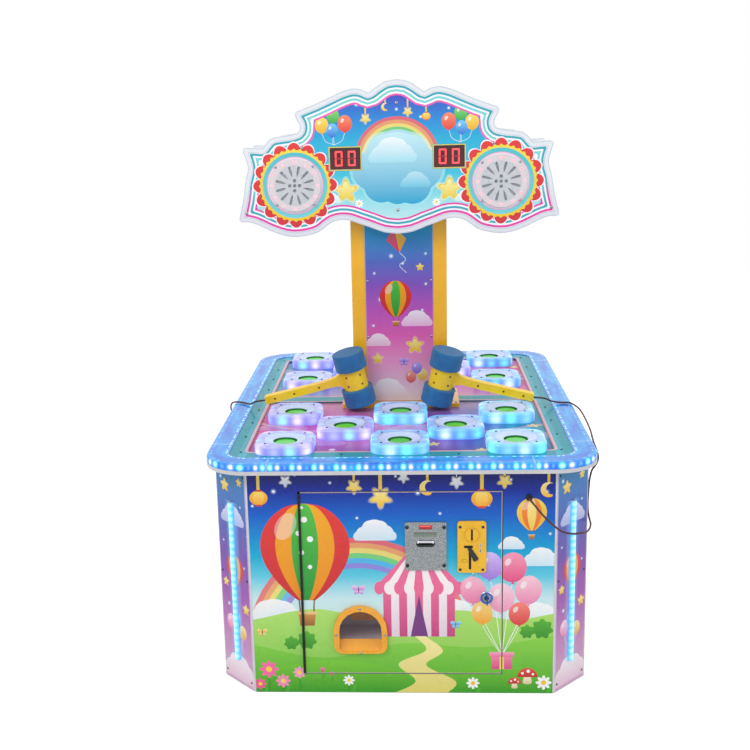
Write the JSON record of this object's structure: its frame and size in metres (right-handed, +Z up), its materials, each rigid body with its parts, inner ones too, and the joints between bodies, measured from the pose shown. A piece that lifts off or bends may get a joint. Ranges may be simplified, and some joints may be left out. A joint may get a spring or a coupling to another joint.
{
  "type": "mole pounding arcade machine",
  "caption": "Arcade cabinet with a lit deck of pads and rising moles, soft hammers on cords, a column with a shaped marquee, and a door with coin slot, ticket slot and prize outlet.",
  "frame": {"origin": "centre of the bounding box's bottom face, on the floor under the middle of the deck", "axes": "+Z up, the front with the coin door faces -Y, +X to the right seen from the front"},
  "size_m": [0.9378, 1.19, 1.4225],
  "materials": {
    "print_front": "board with a glossy laminated print",
    "print_corner": "glossy printed plate with a lit tube",
    "hinge_black": "semi-gloss black",
    "steel": "polished steel",
    "coin_yellow": "glossy yellow",
    "grey_plate": "hammered grey",
    "outlet_orange": "satin orange yellow",
    "tray_mauve": "matt mauve grey",
    "cord_rubber": "matt dark rubber",
    "board_wood": "board",
    "trim_grey": "satin pale grey edge trim",
    "rim_clear": "clear blue, lit from inside",
    "border_teal": "glossy teal",
    "playfield_plastic": "glossy print with lit frosted pads",
    "mole_green": "satin bright green",
    "column_amber": "satin amber yellow",
    "column_print": "glossy print",
    "marquee_acrylic": "printed acrylic with a frosted edge",
    "speaker_grey": "grey grille with a clear lit ring",
    "foam_blue": "soft matt blue foam",
    "handle_yellow": "satin yellow"
  },
  "bodies": {
    "machine": {"cabinet_shell": "print_front", "corner_panel_front_left": "print_corner", "corner_panel_front_right": "print_corner", "corner_panel_rear_left": "print_corner", "corner_panel_rear_right": "print_corner", "hinge_fixed_leaf": "hinge_black", "cord_gland_front": "cord_rubber", "cord_gland_rear": "cord_rubber", "cord_left": "cord_rubber", "cord_right": "cord_rubber", "deck_board": "board_wood", "deck_trim": "trim_grey", "rim_front": "rim_clear", "rim_rear": "rim_clear", "rim_left": "rim_clear", "rim_right": "rim_clear", "rim_corner_front_left": "rim_clear", "rim_corner_front_right": "rim_clear", "rim_corner_rear_left": "rim_clear", "rim_corner_rear_right": "rim_clear", "border_frame": "border_teal", "playfield_front": "playfield_plastic", "playfield_rear": "playfield_plastic", "column_case": "column_amber", "marquee_core": "column_amber", "column_panel_front": "column_print", "column_panel_rear": "column_print", "marquee_board_front": "marquee_acrylic", "marquee_board_rear": "marquee_acrylic", "speaker_left": "speaker_grey", "speaker_right": "speaker_grey"},
    "door": {"front_door": "print_front", "hinge_door_leaf": "hinge_black", "coin_acceptor": "coin_yellow", "ticket_counter": "grey_plate", "outlet_bezel": "outlet_orange", "outlet_tray": "tray_mauve", "door_lock": "steel"},
    "key": {"door_key": "steel"},
    "return_lever": {"coin_return_lever": "hinge_black"},
    "hammer_left_body": {"hammer_head_left": "foam_blue", "hammer_handle_left": "handle_yellow"},
    "hammer_right_body": {"hammer_head_right": "foam_blue", "hammer_handle_right": "handle_yellow"},
    "mole_01_body": {"mole_01": "mole_green"},
    "mole_02_body": {"mole_02": "mole_green"},
    "mole_03_body": {"mole_03": "mole_green"},
    "mole_04_body": {"mole_04": "mole_green"},
    "mole_05_body": {"mole_05": "mole_green"},
    "mole_06_body": {"mole_06": "mole_green"},
    "mole_07_body": {"mole_07": "mole_green"},
    "mole_08_body": {"mole_08": "mole_green"},
    "mole_09_body": {"mole_09": "mole_green"},
    "mole_10_body": {"mole_10": "mole_green"},
    "mole_11_body": {"mole_11": "mole_green"},
    "mole_12_body": {"mole_12": "mole_green"},
    "mole_13_body": {"mole_13": "mole_green"},
    "mole_14_body": {"mole_14": "mole_green"},
    "mole_15_body": {"mole_15": "mole_green"},
    "mole_16_body": {"mole_16": "mole_green"}
  },
  "joints": [
    {"name": "door_hinge", "type": "hinge", "parent": "machine", "child": "door", "pos_m": [-0.2325, -0.5625, 0], "axis": [0, 0, -1], "range_deg": [0, 105]},
    {"name": "key_turn", "type": "hinge", "parent": "door", "child": "key", "pos_m": [0.196, -0.56, 0.2438], "axis": [0, -1, 0], "range_deg": [0, 90]},
    {"name": "return_lever_turn", "type": "hinge", "parent": "door", "child": "return_lever", "pos_m": [0.1561, -0.5656, 0.3677], "axis": [0, 1, 0], "range_deg": [0, 24], "stiffness_Nm_per_rad": 0.02},
    {"name": "hammer_left_lift", "type": "slide", "parent": "machine", "child": "hammer_left_body", "axis": [0, -0.1736, 0.9848], "range_m": [0, 0.25]},
    {"name": "hammer_right_lift", "type": "slide", "parent": "machine", "child": "hammer_right_body", "axis": [0, -0.1736, 0.9848], "range_m": [0, 0.25]},
    {"name": "mole_01_rise", "type": "slide", "parent": "machine", "child": "mole_01_body", "axis": [0, 0, 1], "range_m": [0, 0.038]},
    {"name": "mole_02_rise", "type": "slide", "parent": "machine", "child": "mole_02_body", "axis": [0, 0, 1], "range_m": [0, 0.038]},
    {"name": "mole_03_rise", "type": "slide", "parent": "machine", "child": "mole_03_body", "axis": [0, 0, 1], "range_m": [0, 0.038]},
    {"name": "mole_04_rise", "type": "slide", "parent": "machine", "child": "mole_04_body", "axis": [0, 0, 1], "range_m": [0, 0.038]},
    {"name": "mole_05_rise", "type": "slide", "parent": "machine", "child": "mole_05_body", "axis": [0, 0, 1], "range_m": [0, 0.038]},
    {"name": "mole_06_rise", "type": "slide", "parent": "machine", "child": "mole_06_body", "axis": [0, 0, 1], "range_m": [0, 0.038]},
    {"name": "mole_07_rise", "type": "slide", "parent": "machine", "child": "mole_07_body", "axis": [0, 0, 1], "range_m": [0, 0.038]},
    {"name": "mole_08_rise", "type": "slide", "parent": "machine", "child": "mole_08_body", "axis": [0, 0, 1], "range_m": [0, 0.038]},
    {"name": "mole_09_rise", "type": "slide", "parent": "machine", "child": "mole_09_body", "axis": [0, 0, 1], "range_m": [0, 0.038]},
    {"name": "mole_10_rise", "type": "slide", "parent": "machine", "child": "mole_10_body", "axis": [0, 0, 1], "range_m": [0, 0.038]},
    {"name": "mole_11_rise", "type": "slide", "parent": "machine", "child": "mole_11_body", "axis": [0, 0, 1], "range_m": [0, 0.038]},
    {"name": "mole_12_rise", "type": "slide", "parent": "machine", "child": "mole_12_body", "axis": [0, 0, 1], "range_m": [0, 0.038]},
    {"name": "mole_13_rise", "type": "slide", "parent": "machine", "child": "mole_13_body", "axis": [0, 0, 1], "range_m": [0, 0.038]},
    {"name": "mole_14_rise", "type": "slide", "parent": "machine", "child": "mole_14_body", "axis": [0, 0, 1], "range_m": [0, 0.038]},
    {"name": "mole_15_rise", "type": "slide", "parent": "machine", "child": "mole_15_body", "axis": [0, 0, 1], "range_m": [0, 0.038]},
    {"name": "mole_16_rise", "type": "slide", "parent": "machine", "child": "mole_16_body", "axis": [0, 0, 1], "range_m": [0, 0.038]}
  ]
}
